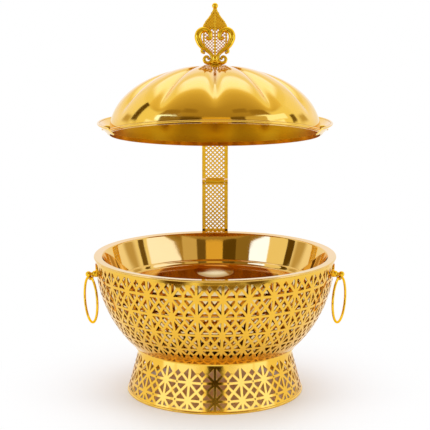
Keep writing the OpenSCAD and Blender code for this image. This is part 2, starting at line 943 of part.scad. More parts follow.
module cradle_rivets() {
    top = lip_z + 0.2;
    color(dark)
        cradle_rivet_places() {
            translate([0, 0, strap_low]) cylinder(r = rivet_radius, h = top - strap_low);
            translate([0, 0, top - eps]) cylinder(r = rivet_head, h = 1);
        }
}

module pivot_screws() {
    color(dark)
        pivot_places() {
            translate([0, 0, dome_radius - pivot_grip])
                cylinder(r = pivot_radius, h = pivot_far + eps - dome_radius + pivot_grip);
            translate([0, 0, pivot_far]) cylinder(r = pivot_head_radius, h = pivot_head);
        }
}

// Lid: drawn upright with its opening at height 0, then hung in the cradle
module hung_lid() {
    translate([0, 0, pivot_z]) rotate([-lid_tilt, 0, 0]) translate([0, 0, lid_z]) children();
}

module lid_rim() {
    color(gold)
        hung_lid()
            rotate_extrude() {
                translate([dome_radius - dome_wall, 0]) square([dome_wall, rim_h]);
                translate([dome_radius + rim_bead / 2 - 0.2, rim_h / 2]) circle(d = rim_bead + 0.4);
                translate([dome_radius - 0.1, rim_h * 0.2]) square([rim_bead / 2, rim_h * 0.6]);
            }
}

// Points of the fluted dome: row runs from the base to the crown, turn round it
azimuths = flutes * 6;
dome_rows = 15;
flute_start = 8;
flute_full = 44;
crown_from = 70;
crown_to = 88;
function smooth(a, b, v) = let (t = min(1, max(0, (v - a) / (b - a)))) t * t * (3 - 2 * t);
function crown_angle(size) = acos(dome_hole / size);
function dome_point(row, turn, thin) =
    let (size = dome_radius - thin, high = dome_height - thin)
    let (rise = crown_angle(size) * row / dome_rows)
    let (lobe = abs(sin(turn * flutes / 2)))
    let (crease = flute_depth * smooth(flute_start, flute_full, rise) * sqrt(cos(rise)))
    let (r = size * cos(rise) - crease * (1 - lobe) * cos(rise))
    let (sink = crease * (1 - lobe) * sin(rise) * (1 - smooth(crown_from, crown_to, rise)))
    [r * cos(turn), r * sin(turn), dome_z + high * sin(rise) - sink];

module fluted_shell() {
    n = azimuths;
    rows = dome_rows + 1;
    turns = [for (i = [0 : n - 1]) 270 + i * 360 / n];
    points = concat(
        [for (j = [0 : dome_rows], t = turns) dome_point(j, t, 0)],
        [for (j = [0 : dome_rows], t = turns) dome_point(j, t, dome_wall)]);
    inner = rows * n;
    crown = dome_rows * n;
    function quad(a, b, c, d) = [[a, b, c], [a, c, d]];
    faces = [for (i = [0 : n - 1])
        let (k = (i + 1) % n)
        each concat(
            [for (j = [0 : dome_rows - 1])
                each quad(j * n + i, (j + 1) * n + i, (j + 1) * n + k, j * n + k)],
            [for (j = [0 : dome_rows - 1])
                let (low = inner + j * n, up = low + n)
                each quad(low + i, low + k, up + k, up + i)],
            quad(i, k, inner + k, inner + i),
            quad(crown + i, inner + crown + i, inner + crown + k, crown + k))];
    polyhedron(points, faces);
}

module boss_places() {
    for (side = [-1, 1])
        translate([0, 0, pivot_height]) rotate([0, side * 90, 0]) children();
}

module lid_dome() {
    color(gold)
        hung_lid()
            difference() {
                fluted_shell();
                boss_places()
                    translate([0, 0, dome_radius - 2 * boss_in])
                        cylinder(r = boss_radius + fit, h = 4 * boss_in);
            }
}

module pivot_bosses() {
    color(gold)
        hung_lid()
            boss_places()
                translate([0, 0, dome_radius - boss_in])
                    difference() {
                        cylinder(r = boss_radius, h = cradle_bore - seat - dome_radius + boss_in);
                        translate([0, 0, -eps])
                            cylinder(r = pivot_radius + boss_clearance, h = cradle_bore);
                    }
}

// Finial
module finial_stud() {
    low = dome_top - dome_wall - 12;
    color(dark)
        hung_lid()
            translate([0, 0, low]) cylinder(r = stud_radius, h = finial_z - low);
}

module finial_nut() {
    color(dark)
        hung_lid()
            translate([0, 0, dome_top - dome_wall - 8]) {
                difference() {
                    union() {
                        cylinder(r = stud_radius * 1.9, h = 5, $fn = 6);
                        translate([0, 0, 5 - eps]) cylinder(r = stud_radius * 2.8, h = 1.6);
                    }
                    translate([0, 0, -eps]) cylinder(r = stud_radius, h = 8);
                }
            }
}

module finial_rosette() {
    petal_bow = rosette_radius * 0.6;
    petal_off = petal_bow * 0.68;
    petal_half = sqrt(petal_bow * petal_bow - petal_off * petal_off);
    color(gold)
        hung_lid()
            translate([0, 0, rosette_z])
                difference() {
                    union() {
                        cylinder(r = rosette_radius * 0.4, h = rosette_t);
                        for (i = [0 : petals - 1])
                            rotate([0, 0, i * 360 / petals])
                                translate([rosette_radius - petal_half, 0, 0])
                                    linear_extrude(rosette_t * 0.7)
                                        intersection() {
                                            translate([0, petal_off]) circle(r = petal_bow);
                                            translate([0, -petal_off]) circle(r = petal_bow);
                                        }
                    }
                    translate([0, 0, -eps]) cylinder(r = stud_radius, h = rosette_t + 1);
                }
}

module finial_collar() {
    color(gold)
        hung_lid()
            translate([0, 0, collar_low])
                difference() {
                    rotate_extrude() {
                        square([5.8, 4 * ring_r]);
                        for (k = [1, 3])
                            translate([5.8, k * ring_r]) circle(r = ring_r);
                    }
                    translate([0, 0, -eps]) cylinder(r = stud_radius, h = 4 * ring_r + 2 * eps);
                }
}

// Leaf outline: a point below, straight sides and a pointed arch above
leaf_shoulder = leaf_h * 0.18;
leaf_spring = leaf_h * 0.59;
leaf_steps = 8;
leaf_bow = 1.12;
leaf_arch = [for (i = [0 : leaf_steps - 1])
    let (u = i / leaf_steps)
    [leaf_w * (1 - pow(u, leaf_bow)), leaf_spring + (leaf_h - leaf_spring) * u]];
leaf_right = concat([[leaf_w, leaf_shoulder]], leaf_arch);
leaf_left = [for (i = [len(leaf_right) - 1 : -1 : 0]) [-leaf_right[i][0], leaf_right[i][1]]];
leaf_outline = concat([[0, 0]], leaf_right, [[0, leaf_h]], leaf_left);
leaf_mesh = 5;
leaf_strip = 1.2;
leaf_frame = 0.86;

leaf_edge = 1.4;

// Room round the scrolls in the leaf's plane
module scroll_room(gap) {
    for (side = [0, 1])
        mirror([side, 0])
            translate([0, -leaf_z]) {
                translate(high_curl) circle(r = high_curl_r + scroll_full + gap);
                translate(low_curl) circle(r = low_curl_r + scroll_full + gap);
                difference() {
                    translate(sweep) circle(r = sweep_r * 1.5);
                    translate(sweep) circle(r = sweep_r - scroll_full - gap);
                    translate([-2 * sweep_r, sweep[1]]) square(4 * sweep_r);
                }
            }
}

module leaf_holes() {
    half = leaf_mesh / 2 - leaf_strip / sqrt(2);
    intersection() {
        difference() {
            translate([0, leaf_h * (1 - leaf_frame) / 2]) scale(leaf_frame) polygon(leaf_outline);
            scroll_room(seat + leaf_edge);
        }
        difference() {
            for (i = [-4 : 4], j = [0 : ceil(leaf_h / leaf_mesh)], k = [0, 0.5])
                translate([(i + k) * leaf_mesh, (j + k) * leaf_mesh])
                    polygon([[-half, 0], [0, -half], [half, 0], [0, half]]);
            translate([-stem_radius - 0.4, 0]) square([2 * stem_radius + 0.8, leaf_h]);
        }
    }
}

module finial_wings() {
    color(gold)
        hung_lid()
            translate([0, 0, leaf_z]) {
                translate([0, leaf_t / 2, 0])
                    rotate([90, 0, 0])
                        linear_extrude(leaf_t)
                            difference() {
                                polygon(leaf_outline);
                                scroll_room(seat);
                                leaf_holes();
                            }
                translate([0, 0, finial_z - leaf_z])
                    cylinder(r = stem_radius, h = leaf_h - finial_z + leaf_z);
            }
}

// Two tapered scrolls on a hub: a low outward curl, a sweep and a high inward curl
low_curl_r = 7.4;
low_curl = [12.1, finial_z + 8.9];
sweep_r = 23.6;
sweep_angle = 70;
sweep = low_curl + (sweep_r + low_curl_r) * [-cos(sweep_angle), sin(sweep_angle)];
high_curl_r = 9.5;
high_curl = sweep + [sweep_r - high_curl_r, 0];
scroll_hub_r = 5;
scroll_hub_h = 8;
scroll_sides = 12;
low_end = 330;
high_from = 16;
high_end = 215;

function arc_line(c, r, from, to, n) =
    [for (i = [0 : n]) let (a = from + (to - from) * i / n) c + r * [cos(a), sin(a)]];
scroll_line = concat(
    arc_line(low_curl, low_curl_r, low_end, 180 - sweep_angle, 12),
    arc_line(sweep, sweep_r, -sweep_angle * 0.9, 0, 8),
    arc_line(high_curl, high_curl_r, high_from, high_end, 12));
function scroll_r(i) =
    let (s = i / (len(scroll_line) - 1), t = min(1, max(0, (s - 0.2) / 0.8)))
    scroll_tip + (scroll_full - scroll_tip) * pow(sin(180 * t), 1.3);
function scroll_way(i) =
    let (n = len(scroll_line))
    unit(scroll_line[min(n - 1, i + 1)] - scroll_line[max(0, i - 1)]);

module one_scroll() {
    n = len(scroll_line);
    m = scroll_sides;
    points = [for (i = [0 : n - 1], j = [0 : m - 1])
        let (c = scroll_line[i], side = left_of(scroll_way(i)), r = scroll_r(i), a = 360 * j / m)
        [c[0] + side[0] * r * cos(a), r * sin(a), c[1] + side[1] * r * cos(a)]];
    walls = [for (i = [0 : n - 2], j = [0 : m - 1])
        let (k = (j + 1) % m)
        each [[i * m + j, i * m + k, (i + 1) * m + k], [i * m + j, (i + 1) * m + k, (i + 1) * m + j]]];
    first = [for (j = [m - 1 : -1 : 0]) j];
    last = [for (j = [0 : m - 1]) (n - 1) * m + j];
    polyhedron(points, concat(walls, [first, last]));
    for (i = [0, n - 1])
        translate([scroll_line[i][0], 0, scroll_line[i][1]]) sphere(scroll_tip * 1.5);
}

module finial_scrolls() {
    color(gold)
        hung_lid()
            difference() {
                union() {
                    for (turn = [0, 180])
                        rotate([0, 0, turn])
                            one_scroll();
                    translate([0, 0, finial_z]) cylinder(r = scroll_hub_r, h = scroll_hub_h);
                }
                translate([0, 0, finial_z - eps]) cylinder(r = stem_radius, h = leaf_h);
            }
}

module finial_ball() {
    color(gold)
        hung_lid()
            difference() {
                translate([0, 0, ball_z]) sphere(ball_radius);
                translate([0, 0, leaf_z + leaf_h - ball_radius]) cylinder(r = stem_radius, h = ball_radius);
            }
}

foot_hem();
foot_skirt();
foot_collar();
bowl_base();
base_screws();
base_nuts();
bowl_shell();
bowl_hoop();
inner_bowl();
burner_ring();
burner_cup();
fuel_can();
water_pan();
food_pan();
handle_plates();
left_lug();
right_lug();
lug_nuts();
left_ring();
right_ring();
arm_bracket();
bracket_screws();
base_hinge_pin();
lower_frame();
lower_mesh();
lower_rivets();
knee_pin();
upper_frame();
upper_mesh();
upper_rivets();
lid_hinge_pin();
cradle_bracket();
cradle_rivets();
lid_cradle();
pivot_screws();
pivot_bosses();
lid_rim();
lid_dome();
finial_stud();
finial_nut();
finial_rosette();
finial_collar();
finial_wings();
finial_scrolls();
finial_ball();
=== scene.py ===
# %% [markdown]
# # A gilt chafing dish
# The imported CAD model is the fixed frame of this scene: every solid keeps its place, and the pieces made
# here either replace a solid with a finer form or give it a finish. Sizes are in metres, or in
# millimetres where a comment says so. +Z is up and the front of the dish looks towards -Y.

# %% Load the frame
from math import atan2, cos, degrees, pi, radians, sin, tan

import bmesh
import bpy
from mathutils import Matrix, Vector


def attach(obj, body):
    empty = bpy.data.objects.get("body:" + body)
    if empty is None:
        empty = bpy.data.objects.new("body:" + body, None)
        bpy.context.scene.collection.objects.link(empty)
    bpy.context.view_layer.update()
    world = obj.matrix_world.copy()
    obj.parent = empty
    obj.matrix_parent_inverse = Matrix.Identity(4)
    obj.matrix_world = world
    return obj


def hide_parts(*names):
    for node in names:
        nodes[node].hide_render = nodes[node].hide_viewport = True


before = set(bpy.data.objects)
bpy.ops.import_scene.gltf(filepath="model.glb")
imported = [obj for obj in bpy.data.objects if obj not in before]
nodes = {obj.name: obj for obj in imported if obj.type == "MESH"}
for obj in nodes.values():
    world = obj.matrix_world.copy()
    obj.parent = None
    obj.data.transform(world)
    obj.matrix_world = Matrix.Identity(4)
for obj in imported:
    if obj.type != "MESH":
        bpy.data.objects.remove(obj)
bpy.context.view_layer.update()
scene = bpy.context.scene
scene.view_settings.view_transform = "Standard"

# %% [markdown]
# ## Camera
# The photograph was taken from the front, a little above the lid, with a long lens. A camera can be
# placed by eye, but the rim of the pan, both edges of the foot and the opening of the lid are circles,
# and only one pinhole camera makes all of them fall on their ellipses. That gives the place, the tilt and
# the lens.

# %% Camera
FRAME_PX, FOCAL_PX, LOOK_DOWN = 430, 1359.1, 10.18
bpy.ops.object.select_all(action="DESELECT")
bpy.ops.object.camera_add(location=(0, -1.9819, 0.6211), rotation=(radians(90 - LOOK_DOWN), 0, 0))
camera = bpy.context.object
camera.name = "front_camera"
camera.data.sensor_width = 36
camera.data.lens = FOCAL_PX / FRAME_PX * camera.data.sensor_width
scene.camera = camera
print("lens", round(camera.data.lens, 1), "mm")

# %% [markdown]
# ## Picking
# Operators act on everything that is selected, so the selection is cleared before each new piece. Points
# are then picked in code by their place, as one would pick them with the mouse. Writing whole lists of
# points would be shorter to run, but the steps of the modelling would no longer be seen.


# %% Picking helpers
def deselect():
    """Leaves edit mode and clears the selection."""
    if bpy.context.object and bpy.context.object.mode == "EDIT":
        bpy.ops.object.mode_set(mode="OBJECT")
    bpy.ops.object.select_all(action="DESELECT")


def only(obj):
    """Makes one object the only selected one."""
    deselect()
    obj.select_set(True)
    bpy.context.view_layer.objects.active = obj


def start(name):
    """Names the object that an operator has just added and opens it for editing."""
    obj = bpy.context.object
    obj.name = name
    obj.data.name = name
    bpy.ops.object.mode_set(mode="EDIT")
    bpy.ops.mesh.select_mode(type="VERT")
    return obj


def pick(obj, test, kind="VERT"):
    """Selects the points, edges or faces of the edited mesh that the test accepts, and counts them."""
    bpy.ops.mesh.select_mode(type=kind)
    bpy.ops.mesh.select_all(action="DESELECT")
    mesh = bmesh.from_edit_mesh(obj.data)
    items = {"VERT": mesh.verts, "EDGE": mesh.edges, "FACE": mesh.faces}[kind]
    found = [item for item in items if test(item)]
    for item in found:
        item.select_set(True)
    mesh.select_flush_mode()
    bmesh.update_edit_mesh(obj.data)
    return len(found)


print("picking helpers ready")

# %% [markdown]
# ## Finishing a shape
# A finished piece sits at the origin, with its place in its mesh, so that patterns on object coordinates
# stay where they are when the part moves. These helpers apply modifiers, merge doubled points, join
# pieces and settle a piece in its place.


# %% Finishing helpers
def apply_modifier(obj, kind, **values):
    """Adds one modifier with these values and applies it."""
    only(obj)
    modifier = obj.modifiers.new(kind.lower(), kind)
    for key, value in values.items():
        setattr(modifier, key, value)
    bpy.ops.object.modifier_apply(modifier=modifier.name)


def apply_place():
    """Leaves edit mode and moves the active object's place into its mesh."""
    bpy.ops.object.mode_set(mode="OBJECT")
    bpy.ops.object.transform_apply(location=True, rotation=True, scale=True)


def settle(obj, matrix=Matrix.Identity(4), angle=40):
    """Puts the shape in its place, with the place in the mesh, and smooths its shading."""
    only(obj)
    obj.matrix_world = matrix @ obj.matrix_world
    apply_place()
    bpy.ops.object.shade_smooth_by_angle(angle=radians(angle))


def clean(obj):
    """Merges doubled points and turns all faces outwards."""
    only(obj)
    bpy.ops.object.mode_set(mode="EDIT")
    bpy.ops.mesh.select_all(action="SELECT")
    bpy.ops.mesh.remove_doubles(threshold=1e-6)
    bpy.ops.mesh.normals_make_consistent(inside=False)
    bpy.ops.object.mode_set(mode="OBJECT")


def join(pieces):
    """Joins the pieces into the first of them."""
    deselect()
    for piece in pieces:
        piece.select_set(True)
    bpy.context.view_layer.objects.active = pieces[0]
    if len(pieces) > 1:
        bpy.ops.object.join()
    return pieces[0]


def turned_copies(obj, count, step):
    """Copies a piece round the Z axis, each copy with its own mesh, and joins them with it."""
    pieces = [obj]
    for i in range(1, count):
        only(obj)
        bpy.ops.object.duplicate(linked=False)
        copy = bpy.context.object
        copy.matrix_world = Matrix.Rotation(step * i, 4, "Z") @ copy.matrix_world
        pieces.append(copy)
    return join(pieces)


print("finishing helpers ready")

# %% [markdown]
# ## The lid's own frame
# The lid hangs on two pivots at the sides of its cradle and stands 13 degrees open. Modelling it tilted
# would make every ring of the dome hard to pick, so it is modelled upright with its opening at height
# zero, and this one matrix then hangs it where the solids are.

# %% Lid frame
PIVOT_Z, OPEN_TILT, PIVOT_ABOVE_RIM = 0.3947, radians(13), 0.011
LID = (Matrix.Translation((0, 0, PIVOT_Z)) @ Matrix.Rotation(-OPEN_TILT, 4, "X")
       @ Matrix.Translation((0, 0, -PIVOT_ABOVE_RIM)))
print("lid opening at", tuple(round(v, 4) for v in LID.translation))

# %% [markdown]
# ## Fluted dome
# The real dome is pressed from one sheet, with twelve soft lobes that part at sharp creases and fade out
# above a plain band. It could be a spun profile with cuts, but then the lobes would not swell. So a
# circle is extruded upwards ring by ring along an ellipse, and the lobes are drawn into its rings
# afterwards.

# %% Dome rings
DOME_R, DOME_H, DOME_Z, DOME_WALL = 0.155, 0.095, 0.006, 0.0012
LOBES, LOBE_POINTS = 12, 8
RINGS = [0, 4, 9, 15, 21, 27, 34, 42, 50, 58, 66, 74, 81, 86, 88.78]
deselect()
bpy.ops.mesh.primitive_circle_add(vertices=LOBES * LOBE_POINTS, radius=DOME_R, location=(0, 0, 0))
dome = start("lid_fluted_dome")
bpy.ops.mesh.select_all(action="SELECT")
for low, high in zip(RINGS, RINGS[1:]):
    rise = DOME_H * (sin(radians(high)) - sin(radians(low)))
    draw = cos(radians(high)) / cos(radians(low))
    bpy.ops.mesh.extrude_region_move(TRANSFORM_OT_translate={"value": (0, 0, rise)})
    bpy.ops.transform.resize(value=(draw, draw, 1))
print("dome rings", len(RINGS))

# %% [markdown]
# ## Lobes
# A crease is deepest half way up the dome and fades out at the band and at the crown. Points on a crease
# are drawn in by the whole depth, points beside it by less, and the middle of a lobe swells out a little.
# The edges along the creases are then marked, so that the subdivision surface keeps them sharp between
# round lobes.

# %% Lobes
DEPTHS = {9: 0.3, 15: 2.6, 21: 5.0, 27: 6.8, 34: 8.2, 42: 8.8, 50: 8.6, 58: 7.6, 66: 5.8, 74: 3.4, 81: 1.0}
SWELL = (-1.0, -0.32, -0.03, 0.08, 0.12)
PLAIN_BAND = DOME_H * sin(radians(7))


def off_crease(co):
    """How many points of the ring a point stands away from the nearest crease."""
    turn = (degrees(atan2(co.x, -co.y)) / (360 / LOBES)) % 1
    return round(min(turn, 1 - turn) * LOBE_POINTS)


def on_crease(edge):
    """Whether an edge runs up along a crease, above the plain band."""
    first, second = (v.co for v in edge.verts)
    upward = abs(first.z - second.z) > 1e-6
    return upward and all(off_crease(co) == 0 and co.z > PLAIN_BAND for co in (first, second))


for angle, depth in DEPTHS.items():
    out, up = DOME_R * cos(radians(angle)), DOME_H * sin(radians(angle))
    lean = Vector((cos(radians(angle)) / DOME_R, sin(radians(angle)) / DOME_H)).normalized()
    for step, share in enumerate(SWELL):
        pick(dome, lambda v: abs(v.co.z - up) < 1e-5 and off_crease(v.co) == step)
        push = share * depth / 1000
        grow = 1 + push * lean.x / out
        bpy.ops.transform.resize(value=(grow, grow, 1), center_override=(0, 0, up))
        bpy.ops.transform.translate(value=(0, 0, push * lean.y))
creases = pick(dome, on_crease, "EDGE")
bpy.ops.transform.edge_crease(value=0.7)
bpy.ops.object.mode_set(mode="OBJECT")
apply_modifier(dome, "SUBSURF", levels=2, render_levels=2)
clean(dome)
apply_modifier(dome, "SOLIDIFY", thickness=DOME_WALL, offset=-1)
settle(dome, LID @ Matrix.Translation((0, 0, DOME_Z)), 60)
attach(dome, "lid")
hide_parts("lid_dome")
print("dome faces", len(dome.data.polygons), "crease edges", creases)

# %% [markdown]
# ## Rods
# The finial's scrolls, borders and spine are all thin cast rods. A rod could be extruded ring by ring,
# but a Bezier curve with a round bevel does it better, because every point of it carries its own radius.
# The curve is made a mesh, and a small bead, flattened a little at its sides, closes each end.


# %% Rods
def rod(name, stations):
    """A rod through (x, height, radius) in mm, in the XZ plane, with a bead at each end."""
    deselect()
    bpy.ops.curve.primitive_bezier_curve_add()
    obj = bpy.context.object
    obj.name = name
    spline = obj.data.splines[0]
    spline.bezier_points.add(len(stations) - 2)
    for point, (x, height, radius) in zip(spline.bezier_points, stations):
        point.co = (x / 1000, 0, height / 1000)
        point.handle_left_type = point.handle_right_type = "AUTO"
        point.radius = radius
    obj.data.dimensions = "3D"
    obj.data.resolution_u = 8
    obj.data.bevel_depth = 0.001
    obj.data.bevel_resolution = 6
    obj.data.use_fill_caps = True
    only(obj)
    bpy.ops.object.convert(target="MESH")
    apply_place()
    return join([obj] + [bead(name + "_bead", *end) for end in (stations[0], stations[-1])])


def bead(name, x, height, radius):
    """A ball a little thicker than the rod, narrowed at its two sides."""
    size = radius * 0.00145
    deselect()
    bpy.ops.mesh.primitive_uv_sphere_add(segments=20, ring_count=12, radius=size,
                                         location=(x / 1000, 0, height / 1000))
    obj = start(name)
    pick(obj, lambda v: abs(v.co.y) > size * 0.5)
    bpy.ops.transform.resize(value=(0.9, 1, 0.9))
    apply_place()
    return obj


def coil(x, height, turns):
    """Stations round a centre, from (angle, distance, radius of the rod)."""
    return [(x + r * cos(radians(a)), height + r * sin(radians(a)), size) for a, r, size in turns]


print("rod helpers ready")

# %% [markdown]
# ## Scrolls of the finial
# Two cast scrolls stand left and right of the pierced leaf. Each swells from a thin outward curl near the
# collar to a thick shoulder and thins again to an inward curl, and a small curl branches off at its side.
# One is made and turned by half a circle for the other, as both come from one mould. A short hub joins
# them.

# %% Scrolls
COLLAR_TOP = 0.1089
scroll_path = (coil(10.7, 112.8, [(510, 1.6, 1.6), (465, 2.8, 1.8), (420, 4.0, 2.1), (375, 5.0, 2.3),
                                  (330, 5.5, 2.4), (285, 5.8, 2.5), (230, 6.0, 2.6), (180, 6.2, 2.7),
                                  (130, 8.4, 2.8)])
               + coil(1.5, 146.9, [(-62, 23.4, 3.2), (-40, 23.4, 4.0), (-18, 23.4, 4.8)])
               + coil(15.6, 146.9, [(0, 9.3, 5.1), (45, 9.3, 4.8), (90, 9.3, 4.2), (135, 9.3, 3.6),
                                    (175, 9.1, 3.1)])
               + [(7.6, 142.6, 2.6), (10.4, 143.4, 2.0)])
curl_path = [(11.6, 126.6, 2.0), (15.6, 128.2, 2.4), (18.7, 126.2, 2.3), (18.8, 123.0, 2.0),
             (16.6, 122.2, 1.6)]
scroll = join([rod("finial_cast_scrolls", scroll_path), rod("side_curl", curl_path)])
turned_copies(scroll, 2, pi)
HUB_R, HUB_H = 0.005, 0.008
deselect()
bpy.ops.mesh.primitive_cylinder_add(vertices=48, radius=HUB_R, depth=HUB_H,
                                    location=(0, 0, COLLAR_TOP + HUB_H / 2))
hub = start("scroll_hub")
pick(hub, lambda f: abs(f.normal.z) > 0.9, "FACE")
bpy.ops.mesh.bevel(offset=0.0012, segments=4, affect="EDGES")
apply_place()
join([scroll, hub])
settle(scroll, LID, 60)
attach(scroll, "lid")
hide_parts("finial_scrolls")
print("scroll faces", len(scroll.data.polygons))

# %% [markdown]
# ## Net of the leaf
# A flat leaf of filigree stands behind the scrolls, sawn from sheet on the real dish. A picture of a net
# on a plate would look flat, so the net is real: a grid is turned by 45 degrees and stood up, its squares
# outside the leaf are deleted, and a wireframe modifier turns the edges that are left into strips.

# %% Net of the leaf
LEAF = [(1.0, 117.5), (7.5, 121.5), (14.0, 130.0), (16.6, 139.0), (16.4, 150.0), (17.0, 160.0), (13.0, 168.0),
        (7.0, 176.0), (2.6, 184.0), (1.2, 188.5)]
LEAF_MIDDLE, NET_HALF = 0.153, 0.056


def leaf_half(height):
    """Half width of the leaf at a height, both in mm."""
    for (x0, low), (x1, high) in zip(LEAF, LEAF[1:]):
        if low <= height <= high:
            return x0 + (x1 - x0) * (height - low) / (high - low)
    return 0


def net(name, pitch, strip, low, high, backed=False):
    """A net of strips inside the leaf between two heights in mm, on a thin plate where it is backed."""
    count = 2 * round(NET_HALF / pitch)
    deselect()
    bpy.ops.mesh.primitive_grid_add(x_subdivisions=count, y_subdivisions=count, size=count * pitch,
                                    location=(0, 0, 0))
    obj = start(name)
    bpy.ops.mesh.select_all(action="SELECT")
    bpy.ops.transform.rotate(value=pi / 4, orient_axis="Z", center_override=(0, 0, 0))
    bpy.ops.transform.rotate(value=-pi / 2, orient_axis="X", center_override=(0, 0, 0))
    bpy.ops.transform.translate(value=(0, 0, LEAF_MIDDLE))

    def outside(face):
        centre = face.calc_center_median() * 1000
        return abs(centre.x) > leaf_half(centre.z) or not low <= centre.z < high

    pick(obj, outside, "FACE")
    bpy.ops.mesh.delete(type="FACE")
    bpy.ops.object.mode_set(mode="OBJECT")
    pieces = [obj]
    if backed:
        only(obj)
        bpy.ops.object.duplicate(linked=False)
        pieces.append(bpy.context.object)
        apply_modifier(pieces[1], "SOLIDIFY", thickness=0.0006, offset=0)
    apply_modifier(obj, "WIREFRAME", thickness=strip, use_even_offset=False)
    return join(pieces)


leaf = net("finial_leaf", 0.0033, 0.0016, 0, 158)
leaf_tip = net("upper_net", 0.0030, 0.0015, 156, 200, backed=True)
print("net faces", len(leaf.data.polygons), len(leaf_tip.data.polygons))

# %% [markdown]
# ## Border and spine of the leaf
# A wire is soldered round the leaf and another up its middle, which hide the cut ends of the net and
# carry it. Both are rods along the outline that the net was cut to, so they meet it without any fitting
# by hand.

# %% Border and spine
borders = [rod("leaf_edge", [(side * x, height, 1.2) for x, height in LEAF]) for side in (-1, 1)]
spine = rod("leaf_spine", [(0, 112.0, 1.5), (0, 150.0, 1.1), (0, 189.0, 0.9)])
join([leaf, leaf_tip, spine, *borders])
settle(leaf, LID, 30)
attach(leaf, "lid")
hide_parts("finial_wings")
print("leaf faces", len(leaf.data.polygons))

# %% [markdown]
# ## Petals
# Pointed petals lie over the crown of the dome under the finial. One petal is a small grid whose rows are
# narrowed towards the tip, lifted along the middle and bent down at the end. A subdivision surface then
# rounds it, which is far quicker than placing the many points of a smooth petal one by one.

# %% Petals
PETAL_ROWS, PETAL_ROOT, PETAL_TIP = 8, 0.004, 0.0004


def petal(name, tip, width, droop, lift):
    """One petal along +X, from its root to the distance of its tip."""
    length = tip - PETAL_ROOT
    deselect()
    bpy.ops.mesh.primitive_grid_add(x_subdivisions=PETAL_ROWS, y_subdivisions=6, size=1, location=(0, 0, 0))
    obj = start(name)
    for i in range(PETAL_ROWS + 1):
        share = i / PETAL_ROWS
        x = share - 0.5
        pick(obj, lambda v: abs(v.co.x - x) < 1e-4)
        wide = max(width * (0.55 + 1.5 * share) * (1 - share) ** 0.55, PETAL_TIP)
        bpy.ops.transform.resize(value=(1, wide, 1), center_override=(x, 0, 0))
        bpy.ops.transform.translate(value=(0, 0, -droop * share ** 2 + lift * sin(pi * share)))
    pick(obj, lambda v: abs(v.co.y) < width * 0.12)
    bpy.ops.transform.translate(value=(0, 0, lift * 0.8))
    bpy.ops.mesh.select_all(action="SELECT")
    bpy.ops.transform.resize(value=(length, 1, 1), center_override=(0, 0, 0))
    bpy.ops.transform.translate(value=(length / 2 + PETAL_ROOT, 0, 0))
    bpy.ops.object.mode_set(mode="OBJECT")
    apply_modifier(obj, "SOLIDIFY", thickness=0.0008, offset=0)
    apply_modifier(obj, "SUBSURF", levels=2, render_levels=2)
    return obj


rosette = petal("finial_petals", 0.0235, 0.0085, 0.0028, 0.0005)
inner = petal("inner_petals", 0.01833, 0.0080, 0.0014, 0.0008)
print("petal faces", len(rosette.data.polygons))

# %% [markdown]
# ## Rosette
# Eight turned copies of the petal make the rosette, and a second, smaller ring of eight stands in its
# gaps, as on stamped rosettes of two layers. A small dished seat closes the middle under the finial's
# collar.

# %% Rosette
turned_copies(rosette, 8, pi / 4)
inner.matrix_world = (Matrix.Translation((0, 0, 0.0010)) @ Matrix.Rotation(pi / 8, 4, "Z")
                      @ inner.matrix_world)
only(inner)
apply_place()
turned_copies(inner, 8, pi / 4)
deselect()
bpy.ops.mesh.primitive_cylinder_add(vertices=48, radius=0.0092, depth=0.0016, location=(0, 0, 0.0004))
seat = start("rosette_seat")
pick(seat, lambda f: f.normal.z > 0.9, "FACE")
bpy.ops.mesh.inset(thickness=0.0015)
bpy.ops.transform.translate(value=(0, 0, 0.0006))
bpy.ops.object.mode_set(mode="OBJECT")
join([rosette, inner, seat])
settle(rosette, LID @ Matrix.Translation((0, 0, DOME_Z + DOME_H + 0.0006)), 60)
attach(rosette, "lid")
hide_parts("finial_rosette")
print("rosette faces", len(rosette.data.polygons))

# %% [markdown]
# ## Food pan
# The pan is spun from one sheet: a rolled edge, a flange, a steep cone and, below a fine step, a small
# round bend into the floor. A screw modifier would do, but the spinner's own path is easy to follow: a
# circle is extruded from station to station, each time moved in height and scaled to the next radius, and
# the finished sheet is given its thickness.

# %% Food pan
EDGE_R, EDGE_Z, EDGE_ROLL, WALL_RUN = 178.4, 205.3, 1.1, 0.408
profile = [(EDGE_R + EDGE_ROLL * cos(radians(a)), EDGE_Z + EDGE_ROLL * sin(radians(a)))
           for a in range(-200, 61, 20)]
profile += [(176.0, 205.7), (169.4, 205.7), (168.5, 205.5), (168.0, 205.0), (167.6, 204.1)]
profile += [(167.6 - (204.1 - z) * WALL_RUN, z) for z in (195, 185, 175, 166, 165)]
profile += [(151.0, 164.4), (150.3, 164.1), (149.8, 163.9)]
profile += [(149.6, 163.5), (148.9, 161.7), (148.1, 159.8), (147.5, 158.8), (146.6, 158.0), (145.2, 157.5)]
profile += [(130, 157.5), (110, 157.4), (85, 157.2), (60, 157.1), (30, 157.0), (10, 157.0), (1, 157.0)]
deselect()
bpy.ops.mesh.primitive_circle_add(vertices=240, radius=profile[0][0] / 1000,
                                  location=(0, 0, profile[0][1] / 1000))
dish = start("spun_food_pan")
bpy.ops.mesh.select_all(action="SELECT")
for (r0, z0), (r1, z1) in zip(profile, profile[1:]):
    bpy.ops.mesh.extrude_region_move(TRANSFORM_OT_translate={"value": (0, 0, (z1 - z0) / 1000)})
    bpy.ops.transform.resize(value=(r1 / r0, r1 / r0, 1))
bpy.ops.mesh.edge_face_add()
apply_place()
clean(dish)
apply_modifier(dish, "SOLIDIFY", thickness=0.001, offset=0)
settle(dish, angle=30)
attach(dish, "stand")
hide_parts("food_pan")
print("pan faces", len(dish.data.polygons))

